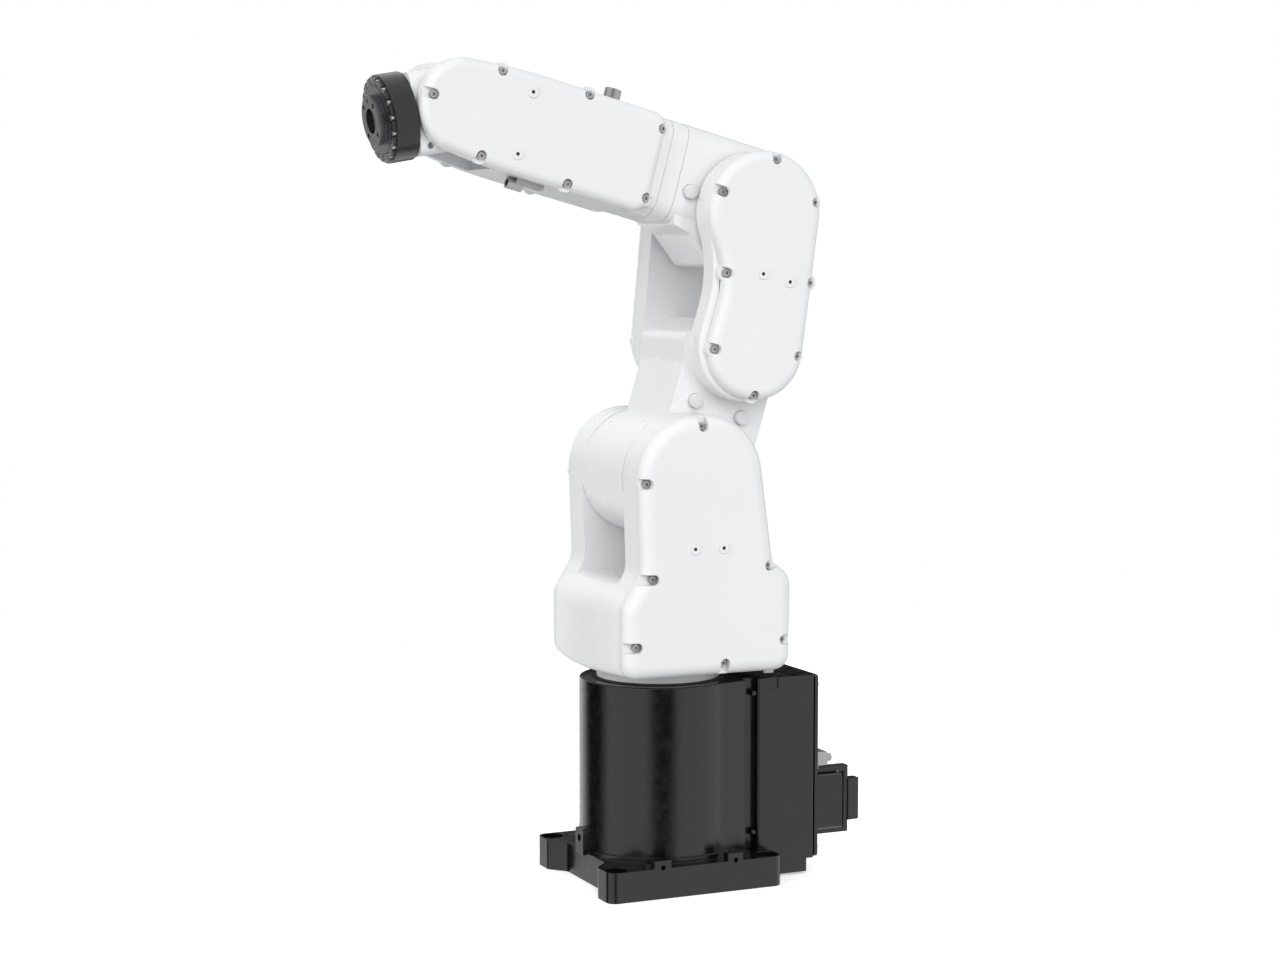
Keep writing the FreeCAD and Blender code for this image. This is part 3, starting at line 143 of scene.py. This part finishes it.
def moulded(name, colour, roughness, grain=2600.0):
    """Moulded plastic with a fine spark-eroded grain and slight handling shine."""
    plastic = Surface(name, colour, roughness)
    cloud = plastic.noise(22.0, detail=3.0)
    plastic.tint(plastic.spread(cloud, 0.0, 1.0), shade(colour, 0.9), shade(colour, 1.15))
    plastic.rough(plastic.noise(60.0), roughness - 0.08, roughness + 0.1)
    plastic.bump(plastic.noise(grain, detail=2.0), 0.00012, 0.4)
    return plastic.material


def machined(name, colour, roughness, stretch=(1, 1, 1), depth=0.00003):
    """Turned or milled metal: fine tool marks and a faint stain."""
    metal = Surface(name, colour, roughness, metallic=1.0)
    marks = metal.noise(900.0, detail=2.0, stretch=stretch)
    stain = metal.noise(30.0, detail=3.0)
    metal.tint(metal.spread(stain, 0.0, 1.0), shade(colour, 0.86), shade(colour, 1.06))
    metal.rough(marks, roughness - 0.06, roughness + 0.1)
    metal.bump(marks, depth, 0.4)
    return metal.material


MATERIALS = {
    "white_paint": powder_coat("white_paint", (0.755, 0.76, 0.765), 0.32, 520.0, 0.00006, 0.025),
    "black_paint": powder_coat("black_paint", (0.004, 0.004, 0.0043), 0.2, 1500.0, 0.00002, 0.2),
    "black_plastic": moulded("black_plastic", (0.005, 0.005, 0.0054), 0.26),
    "light_plastic": moulded("light_plastic", (0.62, 0.63, 0.64), 0.42),
    "plug_plastic": moulded("plug_plastic", (0.09, 0.092, 0.095), 0.5),
    "screw_steel": machined("screw_steel", (0.42, 0.42, 0.43), 0.34),
    "motor_metal": powder_coat("motor_metal", (0.05, 0.05, 0.055), 0.4, 1400.0, 0.0001, 0.1),
    "machined_steel": machined("machined_steel", (0.50, 0.50, 0.51), 0.3, stretch=(1, 6, 1)),
    "rubber": moulded("rubber", (0.03, 0.03, 0.03), 0.7, grain=1500.0),
    "flange_aluminium": machined("flange_aluminium", (0.14, 0.14, 0.145), 0.34, stretch=(6, 1, 1)),
    "fitting_metal": machined("fitting_metal", (0.34, 0.34, 0.35), 0.32),
}
SLOTS = {entry["node"]: entry["material_slot"] for entry in record["subparts"]}


def dress(obj, slot_name):
    obj.data.materials.clear()
    obj.data.materials.append(MATERIALS[slot_name])


for node_name, node in nodes.items():
    dress(node, SLOTS[node_name])
    node.data.shade_smooth()


# ---------------------------------------------------------------- mesh helpers
COVER_SCREW_HEIGHT = 3.2 * MM
PANEL_SCREW_HEIGHT = 1.6 * MM
BOX_SCREW_HEIGHT = 3.4 * MM
SHANK_RADIUS = 1.5 * MM
SHORTEST_SHANK = 0.2 * MM
SCREW_TURN = 0.7            # radians from one screw's socket to the next one's


def finish_mesh(name, mesh, slot_name, body):
    """Turn a bmesh into an object that rides on a CAD body."""
    data = bpy.data.meshes.new(name)
    mesh.to_mesh(data)
    mesh.free()
    obj = bpy.data.objects.new(name, data)
    bpy.context.scene.collection.objects.link(obj)
    dress(obj, slot_name)
    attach(obj, body)
    return obj


def islands(node_name):
    """The separate solids of a CAD node, each as its lowest and highest corner."""
    mesh = bmesh.new()
    mesh.from_mesh(nodes[node_name].data)
    bmesh.ops.remove_doubles(mesh, verts=mesh.verts, dist=MESH_GAP)
    mesh.verts.index_update()
    seen = set()
    boxes = []
    for start in mesh.verts:
        if start.index in seen:
            continue
        stack = [start]
        seen.add(start.index)
        low_corner = start.co.copy()
        high_corner = start.co.copy()
        while stack:
            vertex = stack.pop()
            for axis in range(3):
                low_corner[axis] = min(low_corner[axis], vertex.co[axis])
                high_corner[axis] = max(high_corner[axis], vertex.co[axis])
            for edge in vertex.link_edges:
                other = edge.other_vert(vertex)
                if other.index not in seen:
                    seen.add(other.index)
                    stack.append(other)
        boxes.append((low_corner, high_corner))
    mesh.free()
    return sorted(boxes, key=lambda box: tuple(round(value, 5) for value in box[0]))


def ring(mesh, place, points):
    return [mesh.verts.new(place @ Vector(point)) for point in points]


def bridge(mesh, first, second):
    """Faces between two rings with the same number of points."""
    count = len(first)
    for index in range(count):
        after = (index + 1) % count
        mesh.faces.new((first[index], first[after], second[after], second[index]))


def circle_points(radius, z, count, ripple=0.0):
    points = []
    for index in range(count):
        turn = 2 * math.pi * index / count
        reach = radius - (ripple if index % 2 else 0.0)
        points.append((reach * math.cos(turn), reach * math.sin(turn), z))
    return points


def hexagon_points(radius, z, count):
    """Points along a hexagon's sides, as many as a circle of `count` points."""
    points = []
    side = count // 6
    for corner in range(6):
        start = math.pi / 3 * corner
        end = start + math.pi / 3
        for step in range(side):
            share = step / side
            x = radius * ((1 - share) * math.cos(start) + share * math.cos(end))
            y = radius * ((1 - share) * math.sin(start) + share * math.sin(end))
            points.append((x, y, z))
    return points


def add_socket_screw(mesh, place, radius, height, shank_radius, shank_length, knurl=0.05 * MM):
    """A socket head cap screw with its top at the place's origin, facing along the place's +Z."""
    count = 48
    chamfer = 0.3 * MM
    socket = radius * 0.5
    depth = height * 0.55
    rings = [
        circle_points(shank_radius, -height - shank_length, count),
        circle_points(shank_radius, -height, count),
        circle_points(radius - chamfer, -height, count),
        circle_points(radius, -height + chamfer, count, knurl),
        circle_points(radius, -chamfer * 1.6, count, knurl),
        circle_points(radius - chamfer, 0.0, count),
        hexagon_points(socket * 1.08, 0.0, count),
        hexagon_points(socket, -0.12 * MM, count),
        hexagon_points(socket, -depth, count),
    ]
    made = [ring(mesh, place, points) for points in rings]
    for first, second in zip(made, made[1:]):
        bridge(mesh, first, second)
    mesh.faces.new(list(reversed(made[0])))
    bottom = mesh.verts.new(place @ Vector((0, 0, -depth - 0.4 * MM)))
    last = made[-1]
    for index, vertex in enumerate(last):
        mesh.faces.new((vertex, last[(index + 1) % count], bottom))


def facing(centre, outward, twist=0.0):
    """A matrix at the centre whose +Z points outward."""
    turn = Vector(outward).to_track_quat("Z", "Y").to_matrix().to_4x4()
    return Matrix.Translation(centre) @ turn @ Matrix.Rotation(twist, 4, "Z")


def screws_for(node_name, body, outward, height, slot_name="screw_steel"):
    """Replace a node's plain screws by socket screws at the same places.

    Without a direction, the screws point away from the arm's middle plane.
    """
    mesh = bmesh.new()
    for number, (low_corner, high_corner) in enumerate(islands(node_name)):
        centre = (low_corner + high_corner) / 2
        away = Vector(outward or (0, 1 if centre.y > 0 else -1, 0))
        axis = max(range(3), key=lambda index: abs(away[index]))
        length = high_corner[axis] - low_corner[axis]
        across = [high_corner[index] - low_corner[index] for index in range(3) if index != axis]
        top = centre + away * (length / 2)
        shank_length = max(length - height, SHORTEST_SHANK)
        add_socket_screw(mesh, facing(top, away, number * SCREW_TURN), min(across) / 2, height,
                         SHANK_RADIUS, shank_length)
    bmesh.ops.recalc_face_normals(mesh, faces=mesh.faces)
    piece = finish_mesh(f"{node_name}_detail", mesh, slot_name, body)
    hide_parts(node_name)


def make_screws():
    screws_for("turret_cover_screws", "turret", None, COVER_SCREW_HEIGHT)
    screws_for("lower_arm_cover_screws", "lower_arm", None, COVER_SCREW_HEIGHT)
    screws_for("forearm_cover_screws", "forearm", None, COVER_SCREW_HEIGHT)
    screws_for("panel_screws", "base", (-1, 0, 0), PANEL_SCREW_HEIGHT)
    screws_for("box_screws", "base", (1, 0, 0), BOX_SCREW_HEIGHT, "black_paint")


# ---------------------------------------------------------------- link frames
def link_frames():
    """The frames at rest of the links that have cover bosses, from the joints in the record."""
    stated = {joint["name"]: joint for joint in record["behaviour"]["joints"]}
    joints = {name: Vector(joint["pos_m"]) for name, joint in stated.items()}

    def frame_at(origin, forward, upward):
        side = upward.cross(forward)
        return Matrix.Translation(origin) @ Matrix((forward, side, upward)).transposed().to_4x4()

    across = Vector((0, 1, 0))
    shoulder = joints["shoulder_pitch"]
    elbow = joints["elbow_pitch"]
    along_arm = (elbow - shoulder).normalized()
    along_forearm = Vector(stated["forearm_roll"]["axis"]).normalized()
    return {
        "turret": Matrix.Identity(4),
        "lower_arm": frame_at(shoulder, across.cross(along_arm), along_arm),
        "forearm": frame_at(joints["forearm_roll"], along_forearm, along_forearm.cross(across)),
    }


LINK = link_frames()


# ---------------------------------------------------------------- near-black discs in the cover bosses' holes: painted shade
def add_boss_hole_shade_disc(mesh, place):
    """A small disc with a sunk centre, just below the face of a cover's boss; dressed near-black, it is
    painted shade standing in for the dark inside the boss's hole.
    """
    count = 24
    profile = [(1.42, -2.6), (1.42, -0.35), (1.3, -0.15), (1.0, -0.1), (0.75, -0.35)]
    made = [ring(mesh, place, circle_points(radius * MM, z * MM, count)) for radius, z in profile]
    for first, second in zip(made, made[1:]):
        bridge(mesh, first, second)
    mesh.faces.new(list(reversed(made[0])))
    mesh.faces.new(made[-1])


def make_boss_hole_shade_discs():
    """Two near-black discs in each cover, painted shade for the boss holes; the places are millimetres
    along the link's own X and Z.
    """
    half_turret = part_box("turret_cover_near")[1].y
    half_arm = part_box("lower_arm_cover_near")[1].y
    half_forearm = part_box("forearm_cover_near")[1].y
    places = {
        "turret": (half_turret, [(3.7, 284.6), (-21.9, 284.5)], [(3.7, 284.6), (-21.9, 284.5)]),
        "lower_arm": (half_arm, [(-10.3, 176.2), (-35.6, 176.9)], [(-0.8, 176.2), (-26.1, 176.9)]),
        "forearm": (half_forearm, [(211.0, 25.2), (211.3, -25.2)], [(211.0, 25.2), (211.3, -25.2)]),
    }
    for body, (half, near_places, far_places) in places.items():
        mesh = bmesh.new()
        for sign, spots in ((1, near_places), (-1, far_places)):
            for x, z in spots:
                centre = LINK[body] @ Vector((x * MM, 0, z * MM))
                centre.y = sign * half
                add_boss_hole_shade_disc(mesh, facing(centre, (0, sign, 0)))
        bmesh.ops.recalc_face_normals(mesh, faces=mesh.faces)
        # near-black plastic: painted shade of the boss holes' insides
        finish_mesh(f"{body}_boss_hole_shade_discs", mesh, "black_plastic", body)


make_screws()
# near-black discs in the boss holes paint the holes' shade
make_boss_hole_shade_discs()


# ---------------------------------------------------------------- studio
def make_floor():
    """A pale floor that is left out of reflections and gives no light to the arm."""
    size = 2.6
    bpy.ops.mesh.primitive_plane_add(size=size, location=(0, 0, -0.0002))
    floor = bpy.context.object
    floor.name = "floor"
    pale = Surface("floor_paper", (0.93, 0.93, 0.93), 0.85)
    pale.rough(pale.noise(3.0), 0.82, 0.9)
    pale.shader.inputs["Emission Color"].default_value = (1.0, 1.0, 1.0, 1.0)
    pale.shader.inputs["Emission Strength"].default_value = 0.42
    floor.data.materials.append(pale.material)
    floor.visible_glossy = False
    floor.visible_diffuse = False


def make_light(name, place, target, energy, size):
    """A soft box turned towards the target; it doesn't show in reflections."""
    data = bpy.data.lights.new(name, "AREA")
    data.shape = "RECTANGLE"
    data.size = size[0]
    data.size_y = size[1]
    data.energy = energy
    light = bpy.data.objects.new(name, data)
    bpy.context.scene.collection.objects.link(light)
    light.location = place
    light.rotation_mode = "QUATERNION"
    light.rotation_quaternion = (Vector(target) - Vector(place)).to_track_quat("-Z", "Y")
    light.visible_glossy = False


def make_sun():
    """A broad, soft light from the camera's side; it doesn't show in reflections."""
    data = bpy.data.lights.new("sun", "SUN")
    data.energy = 1.2
    data.angle = math.radians(40)
    sun = bpy.data.objects.new("sun", data)
    bpy.context.scene.collection.objects.link(sun)
    sun.rotation_mode = "QUATERNION"
    sun.rotation_quaternion = Vector((-0.6, -1.6, -1.05)).to_track_quat("-Z", "Y")
    sun.visible_glossy = False


WORLD_LIGHT = 0.58          # strength of the world as a light on matt surfaces
GLOSS_LIGHT = 1.2           # strength of the world in reflections
DARK_FLAGS = [(73.0, 27.0), (-42.0, 34.0), (232.0, 38.0)]    # azimuth and half width in degrees
FLAG_CORE = 0.4             # share of a flag's half width that is fully dark


def add_math(tree, operation, first, second):
    node = tree.nodes.new("ShaderNodeMath")
    node.operation = operation
    tree.links.new(first, node.inputs[0])
    tree.links.new(second, node.inputs[1])
    return node.outputs["Value"]


def dark_flag(tree, direction, azimuth, half_width):
    """The world's strength in reflections, falling to nothing round one azimuth."""
    turn = math.radians(azimuth)
    closeness = tree.nodes.new("ShaderNodeVectorMath")
    closeness.operation = "DOT_PRODUCT"
    closeness.inputs[1].default_value = (math.cos(turn), math.sin(turn), 0.0)
    tree.links.new(direction, closeness.inputs[0])
    flag = tree.nodes.new("ShaderNodeMapRange")
    flag.interpolation_type = "SMOOTHSTEP"
    flag.inputs["From Min"].default_value = math.cos(math.radians(half_width))
    flag.inputs["From Max"].default_value = math.cos(math.radians(half_width * FLAG_CORE))
    flag.inputs["To Min"].default_value = GLOSS_LIGHT
    flag.inputs["To Max"].default_value = 0.0
    tree.links.new(closeness.outputs["Value"], flag.inputs["Value"])
    return flag.outputs["Result"]


def make_world():
    """White where it is seen directly and even as a light, with dark flags in reflections."""
    world = bpy.data.worlds.new("studio")
    bpy.context.scene.world = world
    world.use_nodes = True
    tree = world.node_tree
    background = tree.nodes["Background"]
    background.inputs["Color"].default_value = (1.0, 1.0, 1.0, 1.0)
    direction = tree.nodes.new("ShaderNodeTexCoord").outputs["Generated"]
    flags = [dark_flag(tree, direction, azimuth, width) for azimuth, width in DARK_FLAGS]
    reflected = flags[0]
    for flag in flags[1:]:
        reflected = add_math(tree, "MINIMUM", reflected, flag)
    path = tree.nodes.new("ShaderNodeLightPath")
    level = tree.nodes.new("ShaderNodeMapRange")
    level.inputs["To Min"].default_value = WORLD_LIGHT
    tree.links.new(reflected, level.inputs["To Max"])
    tree.links.new(path.outputs["Is Glossy Ray"], level.inputs["Value"])
    strength = add_math(tree, "MAXIMUM", path.outputs["Is Camera Ray"], level.outputs["Result"])
    tree.links.new(strength, background.inputs["Strength"])


def make_camera():
    """A long lens to the left of the arm and ahead of it, between shoulder and elbow height."""
    turn = math.radians(24.401)
    rise = math.radians(5.119)
    back = Vector((math.sin(turn) * math.cos(rise), math.cos(turn) * math.cos(rise), math.sin(rise)))
    right = Vector((-math.cos(turn), math.sin(turn), 0.0))
    up = back.cross(right)
    data = bpy.data.cameras.new("camera")
    data.lens = 71.88
    data.sensor_width = 36.0
    camera = bpy.data.objects.new("camera", data)
    bpy.context.scene.collection.objects.link(camera)
    spot = Vector((0.8902, 1.9261, 0.5242))
    axes = Matrix((right, up, back)).transposed().to_4x4()
    camera.matrix_world = Matrix.Translation(spot) @ axes
    bpy.context.scene.camera = camera


make_floor()
bpy.context.scene.view_settings.view_transform = "Standard"
make_sun()
make_light("strip", (-0.9, 2.4, 1.0), (0, 0, 0.2), 14.0, (0.35, 1.8))
make_light("side", (2.6, 0.6, 0.8), (0, 0, 0.2), 24.0, (0.5, 1.6))
make_light("rim", (-0.5, -2.6, 1.4), (0, 0, 0.3), 38.0, (1.6, 1.2))
make_world()
make_camera()

bpy.context.view_layer.update()
